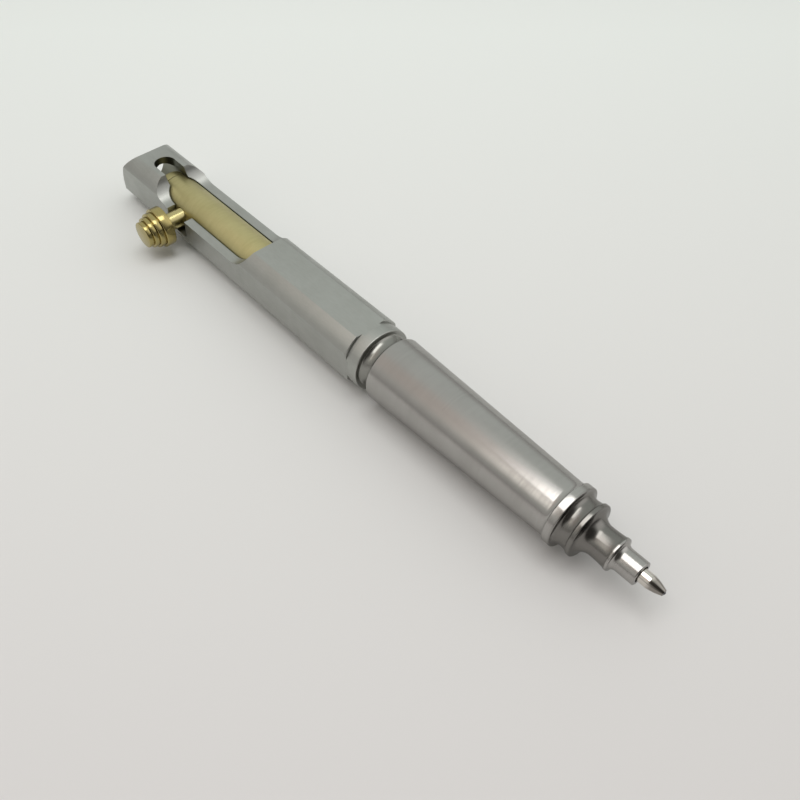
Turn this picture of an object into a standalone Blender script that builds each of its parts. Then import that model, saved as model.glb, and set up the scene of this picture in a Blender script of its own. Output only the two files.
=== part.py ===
"""Bolt action pen, lying on the bottom flat of its barrel.

Metres, +Z up. The pen's axis runs along X with the writing tip towards +X,
and the bolt's handle is locked in the notch on the -Y side, tip extended.
The origin is on the barrel's bottom flat, under the axis, half way along the pen.
Inside the functions, x is measured along the axis from the front face of the
barrel's collar.
"""
import math

import bmesh
import bpy
from mathutils import Matrix, Vector

# Clearances
SEAT_GAP = 0.0002
FINE_GAP = 0.0001
BALL_GAP = 0.00004
BOLT_CLEARANCE = 0.0002
SLOT_CLEARANCE = 0.00035
REFILL_CLEARANCE = 0.0003

# Barrel: a turned tube with four milled flats, a window, a slot and a notch
BARREL_FLAT = 0.00565
BARREL_ROUND = 0.00645
BARREL_TAIL = 0.0076
REAR_ROUND = 0.0100
REAR_ROUND_DROP = 0.0024
WINDOW_SETBACK = 0.03205
WINDOW_LENGTH = 0.03165
WINDOW_FRONT_ROUND = 0.0060
WINDOW_REAR_ROUND = 0.0050
RAIL_TOP = 0.0019
SLOT_LENGTH = 0.0058
NOTCH_REACH = 0.0048
NOTCH_ROUND = 0.0012
PRESS_TRAVEL = 0.0023

# Barrel's front end: a groove, a round collar, a hollow neck and the spigot for the grip
COLLAR_RADIUS = 0.00605
COLLAR_LENGTH = 0.0022
COLLAR_GROOVE_WIDTH = 0.0004
COLLAR_GROOVE_DEPTH = 0.0001
FLAT_RUN_IN = 0.0001
NECK_RADIUS = 0.00475
NECK_RISE = 0.0006
NECK_LENGTH = 0.0026
SPIGOT_RADIUS = 0.0043
SPIGOT_LENGTH = 0.0100

# Grip section
GRIP_REAR_RADIUS = 0.00616
GRIP_REAR_EDGE = 0.0002
GRIP_FRONT_RADIUS = 0.00502
GRIP_BEAD_RADIUS = 0.00549
GRIP_BEAD_COVE = 0.0011
GRIP_BEAD_WIDTH = 0.0013
GROOVE_RADIUS = 0.00438
GROOVE_REAR_WIDTH = 0.0012
GROOVE_FRONT_WIDTH = 0.0014
MIDDLE_BEAD_RADIUS = 0.00476
MIDDLE_BEAD_WIDTH = 0.0006
FLARE_WIDTH = 0.0022
NOSE_NECK_RADIUS = 0.0027
NOSE_NECK_WIDTH = 0.00275
NOSE_BEAD_RADIUS = 0.00294
NOSE_BEAD_WIDTH = 0.0004
NOSE_BEAD_DROP = 0.0011
NOSE_TUBE_RADIUS = 0.00205
NOSE_TUBE_LENGTH = 0.0031
NOSE_EDGE = 0.0002
CHAMBER_WALL = 0.0006
TIP_PROTRUSION = 0.00415

# Bolt and its handle
BOLT_RADIUS = 0.0040
BOLT_BACK = 0.00725
BOLT_NOSE = 0.02955
BOLT_EDGE = 0.0003
TAIL_STEP = 0.00025
TAIL_LENGTH = 0.0029
TAIL_TAPER = 0.0008
TAIL_GROOVE_WIDTH = 0.0003
TAIL_GROOVE_DEPTH = 0.00025
SOCKET_DEPTH = 0.01075
STEM_RADIUS = 0.0018
STEM_SEAT = 0.0032
STEM_END = 0.0076
TENON_RADIUS = 0.0012
TENON_LENGTH = 0.0021
STUD_LENGTH = 0.0030
KNOB_RADIUS = 0.0040
KNOB_STEP = 0.00045
KNOB_BAND_WIDTHS = (0.0020, 0.0012, 0.0010, 0.0010)
KNOB_EDGE = 0.00012

# Refill and its spring
REFILL_LENGTH = 0.0980
REFILL_RADIUS = 0.0030
REFILL_WALL = 0.0004
PLUG_LENGTH = 0.0075
PLUG_TENON = 0.0040
PLUG_GROOVE = 0.0003
TUBE_FRONT_WALL = 0.0025
TUBE_EDGE = 0.0006
NOSE_SLEEVE_RADIUS = 0.00155
SLEEVE_TENON_RADIUS = 0.0009
SLEEVE_TENON = 0.0020
INK_CHANNEL = 0.00035
POINT_RADIUS = 0.00115
POINT_LENGTH = 0.0090
POINT_CONE = 0.0023
POINT_SWELL = 0.00008
POINT_LIP = 0.00052
POINT_TENON_RADIUS = 0.00072
POINT_TENON = 0.0020
BALL_RADIUS = 0.0004
BALL_SHOW = 0.0002
INK_END_SPACE = 0.0010
SPRING_LENGTH = 0.0110
SPRING_TURNS = 9
SPRING_RADIUS = 0.00235
SPRING_WIRE = 0.00022
SPRING_POINTS = 10

# Fineness
TURNED_SIDES = 48
SMALL_SIDES = 28
ARC_STEPS = 6
MARGIN = 0.0010

# Places along the axis, from the front face of the barrel's collar
WINDOW_FRONT = -WINDOW_SETBACK
WINDOW_REAR = WINDOW_FRONT - WINDOW_LENGTH
SLOT_END = WINDOW_REAR - SLOT_LENGTH
COLLAR_REAR = -COLLAR_LENGTH
FLATS_END = COLLAR_REAR + FLAT_RUN_IN
BARREL_REAR = SLOT_END - BARREL_TAIL
NOTCH_REAR = WINDOW_REAR + NOTCH_REACH
HANDLE_X = NOTCH_REAR + FINE_GAP + STEM_RADIUS
NOTCH_FRONT = HANDLE_X + STEM_RADIUS + PRESS_TRAVEL + FINE_GAP
BOLT_SHOULDER = HANDLE_X - BOLT_BACK
BOLT_REAR = BOLT_SHOULDER - TAIL_LENGTH
BOLT_FRONT = HANDLE_X + BOLT_NOSE
BOLT_BORE_END = BOLT_FRONT + PRESS_TRAVEL + SEAT_GAP
SOCKET_END = BOLT_FRONT - SOCKET_DEPTH
REFILL_REAR = SOCKET_END + FINE_GAP
TIP_END = REFILL_REAR + REFILL_LENGTH
GRIP_REAR = NECK_LENGTH + SEAT_GAP
NOSE_END = TIP_END - TIP_PROTRUSION
NOSE_TUBE_START = NOSE_END - NOSE_TUBE_LENGTH
NOSE_BEAD_END = NOSE_TUBE_START - NOSE_BEAD_DROP
NOSE_BEAD_START = NOSE_BEAD_END - NOSE_BEAD_WIDTH
FLARE_END = NOSE_BEAD_START - NOSE_NECK_WIDTH
MIDDLE_BEAD_END = FLARE_END - FLARE_WIDTH
MIDDLE_BEAD_START = MIDDLE_BEAD_END - MIDDLE_BEAD_WIDTH
GROOVE_MIDDLE = MIDDLE_BEAD_START - GROOVE_FRONT_WIDTH
GRIP_BEAD_END = GROOVE_MIDDLE - GROOVE_REAR_WIDTH
GRIP_BEAD_START = GRIP_BEAD_END - GRIP_BEAD_WIDTH
TAPER_END = GRIP_BEAD_START - GRIP_BEAD_COVE
CHAMBER_END = MIDDLE_BEAD_END - CHAMBER_WALL
SPRING_FRONT = CHAMBER_END - FINE_GAP
SPRING_REAR = SPRING_FRONT - SPRING_LENGTH
TUBE_FRONT = SPRING_REAR - FINE_GAP
TUBE_REAR = REFILL_REAR + PLUG_LENGTH
BALL_X = TIP_END - BALL_RADIUS
POINT_END = TIP_END - BALL_SHOW
POINT_REAR = POINT_END - POINT_LENGTH
PEN_MIDDLE = (BARREL_REAR + TIP_END) / 2

# Radii of what fits together
BOLT_BORE = BOLT_RADIUS + BOLT_CLEARANCE
SPIGOT_BORE = SPIGOT_RADIUS + SEAT_GAP
REFILL_BORE = REFILL_RADIUS + REFILL_CLEARANCE
TIP_BORE = POINT_RADIUS + REFILL_CLEARANCE
SLOT_HALF_WIDTH = STEM_RADIUS + SLOT_CLEARANCE
TUBE_BORE = REFILL_RADIUS - REFILL_WALL

AXIS = Vector((-PEN_MIDDLE, 0, BARREL_FLAT))


def clear_scene():
    """Remove every object that the file starts with."""
    for old in list(bpy.data.objects):
        bpy.data.objects.remove(old, do_unlink=True)


def finish_material(name, colour, roughness, metallic):
    """A plain Principled finish."""
    material = bpy.data.materials.new(name)
    material.use_nodes = True
    shader = material.node_tree.nodes["Principled BSDF"]
    shader.inputs["Base Color"].default_value = (*colour, 1)
    shader.inputs["Roughness"].default_value = roughness
    shader.inputs["Metallic"].default_value = metallic
    return material


def add_object(name, mesh, material=None):
    """Put a mesh in the scene with its origin on the pen's axis."""
    thing = bpy.data.objects.new(name, mesh)
    bpy.context.scene.collection.objects.link(thing)
    thing.location = AXIS
    if material:
        mesh.materials.append(material)
    return thing


def mesh_from(shape, name):
    """Turn a bmesh into a closed, smooth-shaded mesh with its faces pointing out."""
    bmesh.ops.remove_doubles(shape, verts=shape.verts, dist=1e-7)
    bmesh.ops.dissolve_degenerate(shape, edges=shape.edges, dist=1e-8)
    bmesh.ops.recalc_face_normals(shape, faces=shape.faces)
    mesh = bpy.data.meshes.new(name)
    shape.to_mesh(mesh)
    shape.free()
    mesh.shade_smooth()
    mesh.set_sharp_from_angle(angle=math.radians(35))
    return mesh


def turned(name, outline, material=None, sides=TURNED_SIDES):
    """A piece turned about X from a closed outline of (x, radius) points."""
    shape = bmesh.new()
    ring = [shape.verts.new((x, 0, radius)) for x, radius in outline]
    edges = [shape.edges.new((a, b)) for a, b in zip(ring, ring[1:] + ring[:1])]
    bmesh.ops.spin(
        shape, geom=ring + edges, cent=(0, 0, 0), axis=(1, 0, 0),
        angle=2 * math.pi, steps=sides, use_merge=True,
    )
    return add_object(name, mesh_from(shape, name), material)


def prism(name, outline, start, end, turn=None):
    """A block with its outline in XZ, running along Y from start to end, then turned."""
    shape = bmesh.new()
    face = shape.faces.new([shape.verts.new((x, start, z)) for x, z in outline])
    grown = bmesh.ops.extrude_face_region(shape, geom=[face])
    moved = [part for part in grown["geom"] if isinstance(part, bmesh.types.BMVert)]
    bmesh.ops.translate(shape, verts=moved, vec=(0, end - start, 0))
    if turn:
        bmesh.ops.transform(shape, matrix=turn, verts=shape.verts)
    return add_object(name, mesh_from(shape, name))


def machine(piece, tool, operation="DIFFERENCE"):
    """Cut a piece with a hidden tool, or keep only what lies inside the tool."""
    tool.hide_render = True
    tool.display_type = "WIRE"
    cut = piece.modifiers.new(tool.name, "BOOLEAN")
    cut.operation = operation
    cut.solver = "EXACT"
    cut.object = tool


def arc(centre, radius, start, end, steps=ARC_STEPS):
    """Points on a circle, with angles in degrees from +x towards +z."""
    points = []
    for step in range(steps + 1):
        angle = math.radians(start + (end - start) * step / steps)
        points.append((centre[0] + radius * math.cos(angle), centre[1] + radius * math.sin(angle)))
    return points


def cove(steep, flat, steps=ARC_STEPS):
    """A hollow quarter ellipse from its steep end to the end where it runs along the axis."""
    points = []
    for step in range(steps + 1):
        angle = math.pi / 2 * step / steps
        x = steep[0] + (flat[0] - steep[0]) * (1 - math.cos(angle))
        radius = steep[1] + (flat[1] - steep[1]) * math.sin(angle)
        points.append((x, radius))
    return points


def front_outline():
    """Each flat runs a little way into the collar; the rest of the front stays as it was turned."""
    front = NECK_LENGTH + SPIGOT_LENGTH + MARGIN
    return [
        (FLATS_END, BARREL_FLAT),
        (FLATS_END, 2 * BARREL_FLAT),
        (front, 2 * BARREL_FLAT),
        (front, -2 * BARREL_FLAT),
        (FLATS_END, -2 * BARREL_FLAT),
        (FLATS_END, -BARREL_FLAT),
    ]


def barrel_side_outline():
    """Side view of the barrel: rounded rear, flats above and below, top milled down at the window."""
    rear_centre = (BARREL_REAR + REAR_ROUND, -REAR_ROUND_DROP)
    lower = math.degrees(math.asin(min(1, (BARREL_FLAT - REAR_ROUND_DROP) / REAR_ROUND)))
    upper = math.degrees(math.asin(min(1, (BARREL_FLAT + REAR_ROUND_DROP) / REAR_ROUND)))
    rear_rise = RAIL_TOP + WINDOW_REAR_ROUND
    front_rise = RAIL_TOP + WINDOW_FRONT_ROUND
    rear_lean = math.asin((rear_rise - BARREL_FLAT) / WINDOW_REAR_ROUND)
    front_lean = math.asin((front_rise - BARREL_FLAT) / WINDOW_FRONT_ROUND)
    rear_arc = (WINDOW_REAR + WINDOW_REAR_ROUND * math.cos(rear_lean), rear_rise)
    front_arc = (WINDOW_FRONT - WINDOW_FRONT_ROUND * math.cos(front_lean), front_rise)
    outline = arc(rear_centre, REAR_ROUND, 180 + lower, 180 - upper, 2 * ARC_STEPS)
    outline += arc(rear_arc, WINDOW_REAR_ROUND, 180 + math.degrees(rear_lean), 270)
    outline += arc(front_arc, WINDOW_FRONT_ROUND, 270, 360 - math.degrees(front_lean))
    return outline + front_outline()


def make_barrel(steel):
    """The upper barrel, machined from a bored round blank."""
    rear = BARREL_REAR - MARGIN
    groove_rear = COLLAR_REAR - COLLAR_GROOVE_WIDTH
    groove_radius = COLLAR_RADIUS - COLLAR_GROOVE_DEPTH
    neck_middle = NECK_LENGTH / 2
    neck_edge = NECK_RADIUS + NECK_RISE
    rear_half = cove((0, neck_edge), (neck_middle, NECK_RADIUS))
    front_half = cove((NECK_LENGTH, neck_edge), (neck_middle, NECK_RADIUS))
    spigot_end = NECK_LENGTH + SPIGOT_LENGTH
    barrel = turned("upper_barrel", [
        (rear, BOLT_BORE),
        (rear, BARREL_ROUND),
        (groove_rear, BARREL_ROUND),
        (groove_rear, groove_radius),
        (COLLAR_REAR, groove_radius),
        (COLLAR_REAR, COLLAR_RADIUS),
        (0, COLLAR_RADIUS),
        *rear_half,
        *reversed(front_half[:-1]),
        (NECK_LENGTH, SPIGOT_RADIUS),
        (spigot_end, SPIGOT_RADIUS),
        (spigot_end, REFILL_BORE),
        (BOLT_BORE_END, REFILL_BORE),
        (BOLT_BORE_END, BOLT_BORE),
    ], steel)

    wide = 2 * BARREL_ROUND
    stand_up = Matrix.Rotation(math.radians(90), 4, "X")
    machine(barrel, prism("side_shape", barrel_side_outline(), -wide, wide), "INTERSECT")
    top_outline = [(rear, -BARREL_FLAT), (rear, BARREL_FLAT)] + front_outline()
    machine(barrel, prism("top_shape", top_outline, -wide, wide, stand_up), "INTERSECT")

    slot_outline = arc((SLOT_END + SLOT_HALF_WIDTH, 0), SLOT_HALF_WIDTH, 90, 270, 2 * ARC_STEPS)
    slot_mouth = WINDOW_REAR + WINDOW_REAR_ROUND
    slot_outline += [(slot_mouth, -SLOT_HALF_WIDTH), (slot_mouth, SLOT_HALF_WIDTH)]
    machine(barrel, prism("slot_cutter", slot_outline, 0, wide, stand_up))

    floor = -STEM_RADIUS - SLOT_CLEARANCE
    notch_outline = [(NOTCH_REAR, RAIL_TOP + MARGIN)]
    notch_outline += arc((NOTCH_REAR + NOTCH_ROUND, floor + NOTCH_ROUND), NOTCH_ROUND, 180, 270)
    notch_outline += arc((NOTCH_FRONT - NOTCH_ROUND, floor + NOTCH_ROUND), NOTCH_ROUND, 270, 360)
    notch_outline += [(NOTCH_FRONT, RAIL_TOP + MARGIN)]
    machine(barrel, prism("notch_cutter", notch_outline, -wide, -BOLT_BORE / 2))


def make_grip(steel):
    """The tapered grip section with three beads and the nose tube."""
    spigot_end = GRIP_REAR + SPIGOT_LENGTH + SEAT_GAP
    rear_edge_centre = (GRIP_REAR + GRIP_REAR_EDGE, GRIP_REAR_RADIUS - GRIP_REAR_EDGE)
    nose_edge_centre = (NOSE_END - NOSE_EDGE, NOSE_TUBE_RADIUS - NOSE_EDGE)
    turned("grip_section", [
        (GRIP_REAR, SPIGOT_BORE),
        *arc(rear_edge_centre, GRIP_REAR_EDGE, 180, 90, ARC_STEPS // 2),
        (TAPER_END, GRIP_FRONT_RADIUS),
        *reversed(cove((GRIP_BEAD_START, GRIP_BEAD_RADIUS), (TAPER_END + FINE_GAP, GRIP_FRONT_RADIUS))),
        (GRIP_BEAD_END, GRIP_BEAD_RADIUS),
        *cove((GRIP_BEAD_END + FINE_GAP, GRIP_BEAD_RADIUS - FINE_GAP), (GROOVE_MIDDLE, GROOVE_RADIUS)),
        *reversed(cove((MIDDLE_BEAD_START, MIDDLE_BEAD_RADIUS), (GROOVE_MIDDLE + FINE_GAP, GROOVE_RADIUS))),
        (MIDDLE_BEAD_END, MIDDLE_BEAD_RADIUS),
        *cove((MIDDLE_BEAD_END + FINE_GAP, MIDDLE_BEAD_RADIUS - FINE_GAP), (FLARE_END, NOSE_NECK_RADIUS)),
        *reversed(cove((NOSE_BEAD_START, NOSE_BEAD_RADIUS), (FLARE_END + FINE_GAP, NOSE_NECK_RADIUS))),
        (NOSE_BEAD_END, NOSE_BEAD_RADIUS),
        *cove((NOSE_BEAD_END + FINE_GAP, NOSE_BEAD_RADIUS - FINE_GAP), (NOSE_TUBE_START, NOSE_TUBE_RADIUS)),
        *arc(nose_edge_centre, NOSE_EDGE, 90, 0, ARC_STEPS // 2),
        (NOSE_END, TIP_BORE),
        (CHAMBER_END, TIP_BORE),
        (CHAMBER_END, REFILL_BORE),
        (spigot_end, REFILL_BORE),
        (spigot_end, SPIGOT_BORE),
    ], steel)


def make_bolt(brass):
    """The sliding bolt, with a socket for the refill and a seat for the handle."""
    tail_radius = BOLT_RADIUS - TAIL_STEP
    groove_rear = BOLT_SHOULDER - TAIL_GROOVE_WIDTH
    groove_radius = tail_radius - TAIL_GROOVE_DEPTH
    bolt = turned("bolt", [
        (BOLT_REAR, 0),
        (BOLT_REAR, tail_radius - TAIL_TAPER),
        (BOLT_REAR + TAIL_TAPER, tail_radius),
        (groove_rear, tail_radius),
        (groove_rear, groove_radius),
        (BOLT_SHOULDER, groove_radius),
        (BOLT_SHOULDER, BOLT_RADIUS),
        (BOLT_FRONT - BOLT_EDGE, BOLT_RADIUS),
        (BOLT_FRONT, BOLT_RADIUS - BOLT_EDGE),
        (BOLT_FRONT, REFILL_BORE),
        (SOCKET_END, REFILL_BORE),
        (SOCKET_END, 0),
    ], brass)
    seat_radius = STEM_RADIUS + FINE_GAP
    hole_radius = TENON_RADIUS + FINE_GAP
    hole_end = STEM_SEAT - TENON_LENGTH - FINE_GAP
    drill = turned("handle_drill", [
        (hole_end, 0),
        (hole_end, hole_radius),
        (STEM_SEAT - FINE_GAP, hole_radius),
        (STEM_SEAT - FINE_GAP, seat_radius),
        (BOLT_RADIUS + MARGIN, seat_radius),
        (BOLT_RADIUS + MARGIN, 0),
    ], sides=SMALL_SIDES)
    aim_at_handle(drill)
    machine(bolt, drill)


def aim_at_handle(piece):
    """Stand a turned piece on the pen's axis at the handle, pointing out through the notch."""
    piece.rotation_euler = (0, 0, math.radians(-90))
    piece.location = AXIS + Vector((HANDLE_X, 0, 0))


def make_handle(brass):
    """The handle: a stem seated in the bolt, and a stepped knob on the stem's stud."""
    stud_end = STEM_END + STUD_LENGTH
    stem = turned("handle_stem", [
        (STEM_SEAT - TENON_LENGTH, 0),
        (STEM_SEAT - TENON_LENGTH, TENON_RADIUS),
        (STEM_SEAT, TENON_RADIUS),
        (STEM_SEAT, STEM_RADIUS),
        (STEM_END, STEM_RADIUS),
        (STEM_END, TENON_RADIUS),
        (stud_end, TENON_RADIUS),
        (stud_end, 0),
    ], brass, SMALL_SIDES)
    aim_at_handle(stem)

    back = STEM_END + FINE_GAP
    hole = TENON_RADIUS + FINE_GAP
    outline = [(back, hole)]
    rear, radius = back, KNOB_RADIUS
    for width in KNOB_BAND_WIDTHS:
        front = rear + width
        outline += [(rear, radius - KNOB_EDGE), (rear + KNOB_EDGE, radius)]
        outline += [(front - KNOB_EDGE, radius), (front, radius - KNOB_EDGE)]
        rear, radius = front, radius - KNOB_STEP
    outline += [(front, 0), (stud_end + FINE_GAP, 0), (stud_end + FINE_GAP, hole)]
    aim_at_handle(turned("handle_knob", outline, brass))


def make_refill(finishes):
    """The ink cartridge: plug, tube, ink, nose sleeve, point and ball."""
    turned("refill_end_plug", [
        (REFILL_REAR, 0),
        (REFILL_REAR, REFILL_RADIUS - 2 * PLUG_GROOVE),
        (REFILL_REAR + PLUG_LENGTH / 2, REFILL_RADIUS - 2 * PLUG_GROOVE),
        (REFILL_REAR + PLUG_LENGTH / 2 + PLUG_GROOVE, REFILL_RADIUS),
        (TUBE_REAR - FINE_GAP, REFILL_RADIUS),
        (TUBE_REAR - FINE_GAP, TUBE_BORE - FINE_GAP),
        (TUBE_REAR + PLUG_TENON, TUBE_BORE - FINE_GAP),
        (TUBE_REAR + PLUG_TENON, 0),
    ], finishes["plastic"], SMALL_SIDES)

    inner_front = TUBE_FRONT - TUBE_FRONT_WALL
    sleeve_hole = SLEEVE_TENON_RADIUS + FINE_GAP
    turned("refill_tube", [
        (TUBE_REAR, TUBE_BORE),
        (TUBE_REAR, REFILL_RADIUS),
        (TUBE_FRONT - TUBE_EDGE, REFILL_RADIUS),
        (TUBE_FRONT, REFILL_RADIUS - TUBE_EDGE),
        (TUBE_FRONT, sleeve_hole),
        (inner_front, sleeve_hole),
        (inner_front, TUBE_BORE),
    ], finishes["tube"], SMALL_SIDES)

    turned("ink_column", [
        (TUBE_REAR + PLUG_TENON + INK_END_SPACE, 0),
        (TUBE_REAR + PLUG_TENON + INK_END_SPACE, TUBE_BORE - FINE_GAP),
        (inner_front - FINE_GAP, TUBE_BORE - FINE_GAP),
        (inner_front - FINE_GAP, 0),
    ], finishes["ink"], SMALL_SIDES)

    sleeve_rear = TUBE_FRONT + FINE_GAP
    sleeve_front = POINT_REAR - FINE_GAP
    point_hole = POINT_TENON_RADIUS + FINE_GAP
    point_hole_end = sleeve_front - POINT_TENON
    turned("refill_nose", [
        (sleeve_rear - SLEEVE_TENON, INK_CHANNEL),
        (sleeve_rear - SLEEVE_TENON, SLEEVE_TENON_RADIUS),
        (sleeve_rear, SLEEVE_TENON_RADIUS),
        (sleeve_rear, NOSE_SLEEVE_RADIUS),
        (CHAMBER_END - PRESS_TRAVEL - SEAT_GAP, NOSE_SLEEVE_RADIUS),
        (CHAMBER_END - PRESS_TRAVEL, POINT_RADIUS),
        (sleeve_front, POINT_RADIUS),
        (sleeve_front, point_hole),
        (point_hole_end, point_hole),
        (point_hole_end, INK_CHANNEL),
    ], finishes["nose"], SMALL_SIDES)

    cup = BALL_RADIUS + BALL_GAP
    cup_end = BALL_X - cup
    lip_angle = math.degrees(math.acos((POINT_END - BALL_X) / cup))
    turned("refill_point", [
        (POINT_REAR - POINT_TENON + FINE_GAP, INK_CHANNEL),
        (POINT_REAR - POINT_TENON + FINE_GAP, POINT_TENON_RADIUS),
        (POINT_REAR, POINT_TENON_RADIUS),
        (POINT_REAR, POINT_RADIUS),
        (POINT_END - POINT_CONE, POINT_RADIUS),
        (POINT_END - POINT_CONE / 2, (POINT_RADIUS + POINT_LIP) / 2 + POINT_SWELL),
        (POINT_END, POINT_LIP),
        *arc((BALL_X, 0), cup, lip_angle, 90, ARC_STEPS // 2),
        (BALL_X - cup / 2, cup),
        (cup_end, INK_CHANNEL),
    ], finishes["point"], SMALL_SIDES)

    turned("writing_ball", arc((BALL_X, 0), BALL_RADIUS, 180, 0), finishes["ball"], SMALL_SIDES)


def least_gap(points, radius, skip):
    """The least clear distance between turns of a tube that runs through the points."""
    gaps = []
    for index, here in enumerate(points):
        for there in points[index + skip:]:
            gaps.append((here - there).length - 2 * radius)
    return min(gaps)


def make_spring(steel):
    """The return spring, one wire from the refill's shoulder to the nose."""
    count = SPRING_TURNS * SPRING_POINTS
    rise = SPRING_LENGTH - 2 * SPRING_WIRE
    points = []
    for step in range(count + 1):
        turn = 2 * math.pi * step / SPRING_POINTS
        x = SPRING_REAR + SPRING_WIRE + rise * step / count
        points.append(Vector((x, SPRING_RADIUS * math.cos(turn), SPRING_RADIUS * math.sin(turn))))
    gap = least_gap(points, SPRING_WIRE, SPRING_POINTS // 2)
    print("return_spring least gap between turns, mm:", round(gap * 1000, 3))
    curve = bpy.data.curves.new("return_spring", "CURVE")
    curve.dimensions = "3D"
    curve.bevel_depth = SPRING_WIRE
    curve.bevel_resolution = 1
    curve.use_fill_caps = True
    wire = curve.splines.new("POLY")
    wire.points.add(count)
    for knot, point in zip(wire.points, points):
        knot.co = (*point, 1)
    add_object("return_spring", curve, steel)


def main():
    """Build every piece of the pen."""
    clear_scene()
    make_barrel(finish_material("barrel_steel", (0.60, 0.60, 0.59), 0.34, 1.0))
    make_grip(finish_material("grip_steel", (0.62, 0.61, 0.60), 0.30, 1.0))
    make_bolt(finish_material("bolt_brass", (0.66, 0.58, 0.30), 0.36, 1.0))
    make_handle(finish_material("handle_brass", (0.74, 0.64, 0.31), 0.20, 1.0))
    make_refill({
        "plastic": finish_material("plug_plastic", (0.04, 0.04, 0.045), 0.45, 0.0),
        "tube": finish_material("tube_metal", (0.70, 0.70, 0.70), 0.25, 1.0),
        "ink": finish_material("ink_paste", (0.01, 0.01, 0.015), 0.30, 0.0),
        "nose": finish_material("nose_brass", (0.72, 0.62, 0.34), 0.30, 1.0),
        "point": finish_material("point_nickel", (0.72, 0.70, 0.66), 0.18, 1.0),
        "ball": finish_material("ball_carbide", (0.25, 0.25, 0.26), 0.15, 1.0),
    })
    make_spring(finish_material("spring_steel", (0.66, 0.66, 0.66), 0.25, 1.0))


main()
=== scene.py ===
"""A bolt action pen lying on a pale table, window up and bolt locked in its notch.

Metres. The pen's axis runs along X, with the writing tip towards +X.
Inside the shape functions, x is measured along the axis from the front face of the
barrel's collar.
"""
import math

import bmesh
import bpy
from mathutils import Matrix, Vector


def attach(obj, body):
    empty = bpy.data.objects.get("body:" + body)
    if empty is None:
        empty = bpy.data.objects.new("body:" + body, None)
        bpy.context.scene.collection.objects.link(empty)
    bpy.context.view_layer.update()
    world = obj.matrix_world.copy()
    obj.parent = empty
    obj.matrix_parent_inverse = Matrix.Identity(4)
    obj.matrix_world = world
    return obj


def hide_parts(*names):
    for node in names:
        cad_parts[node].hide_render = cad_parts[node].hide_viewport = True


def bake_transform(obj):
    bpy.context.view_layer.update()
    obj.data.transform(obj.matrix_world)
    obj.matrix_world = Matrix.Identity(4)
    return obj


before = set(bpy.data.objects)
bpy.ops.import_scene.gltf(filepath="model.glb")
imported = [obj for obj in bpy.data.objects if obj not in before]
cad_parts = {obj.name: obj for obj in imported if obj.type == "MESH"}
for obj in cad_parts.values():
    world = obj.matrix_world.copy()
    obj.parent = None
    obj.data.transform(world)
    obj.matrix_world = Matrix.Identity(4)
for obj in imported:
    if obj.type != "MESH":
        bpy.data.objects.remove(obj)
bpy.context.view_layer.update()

# Where the pen's own measures start in the frame
PEN_START = Vector((0.0086, 0, 0.00565))

# Barrel
BARREL_REAR = -0.0771
BARREL_FLAT = 0.00565
BARREL_ROUND = 0.00645
BOLT_BORE = 0.0042
BOLT_BORE_END = -0.02495
REFILL_BORE = 0.0033
REAR_ROUND = 0.0100
REAR_ROUND_DROP = 0.0024
WINDOW_FRONT = -0.03205
WINDOW_REAR = -0.0637
WINDOW_FRONT_ROUND = 0.0060
WINDOW_REAR_ROUND = 0.0050
RAIL_TOP = 0.0019
SLOT_END = -0.0695
SLOT_HALF_WIDTH = 0.00215
NOTCH_REAR = -0.0589
NOTCH_FRONT = -0.0528
NOTCH_FLOOR = -0.00215
NOTCH_ROUND = 0.0012

# Front end of the barrel
COLLAR_RADIUS = 0.00605
COLLAR_REAR = -0.0022
COLLAR_CHAMFER = 0.00008
COLLAR_ROUND = 0.00022
FLATS_END = -0.0021
GROOVE_REAR = -0.00275
GROOVE_RADIUS = 0.00595
GROOVE_RIM_ROUND = 0.00026
NECK_RADIUS = 0.00475
NECK_EDGE = 0.00535
NECK_LENGTH = 0.0026
SPIGOT_RADIUS = 0.0043
SPIGOT_END = 0.0126

# Grip and nose. Each bead has the rear, front and radius of its land, then the end and
# the radius of the hollow in front of it.
GRIP_REAR = 0.0028
GRIP_RADIUS = 0.00616
GRIP_ROUND = 0.0002
GRIP_SOCKET = 0.0045
GRIP_SOCKET_END = 0.0130
TAPER_END = 0.0406
TAPER_END_RADIUS = 0.00502
NOSE_RADIUS = 0.00205
NOSE_BORE = 0.00145
NOSE_FRONT = 0.05575
NOSE_ROUND = 0.0002
GRIP_BEADS = (
    (0.0417, 0.0430, 0.00549, 0.0442, 0.00438),
    (0.0456, 0.0462, 0.00476, 0.0484, 0.0027),
    (0.05115, 0.05155, 0.00294, 0.05265, NOSE_RADIUS),
)
BEAD_CHAMFER = 0.0001
HOLLOW_FLOOR = 0.0001
SPRING_SEAT = 0.0456

# Bolt
BOLT_REAR = -0.06715
BOLT_SHOULDER = -0.06425
BOLT_FRONT = -0.02745
BOLT_RADIUS = 0.0040
SHOULDER_CHAMFER = 0.0001
BOLT_FRONT_CHAMFER = 0.0003
TAIL_RADIUS = 0.00375
TAIL_TAPER = 0.0008
TAIL_GROOVE = -0.0646
TAIL_GROOVE_RADIUS = 0.00345
SOCKET_RADIUS = 0.0033
SOCKET_END = -0.0382

# Handle: its place along the pen, then its measures outwards from the pen's axis
HANDLE_X = -0.0570
HANDLE_CLEARANCE = 0.0001
PIN_START = 0.0011
PIN_RADIUS = 0.0012
STEM_START = 0.0032
STEM_RADIUS = 0.0018
STEM_END = 0.0076
STUD_END = 0.0106
DRILL_END = 0.0050
KNOB_START = 0.0077
KNOB_RADIUS = 0.0040
KNOB_STEP = 0.00045
KNOB_CHAMFER = 0.0001
KNOB_BAND_WIDTHS = (0.0020, 0.0012, 0.0010, 0.0010)

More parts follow.
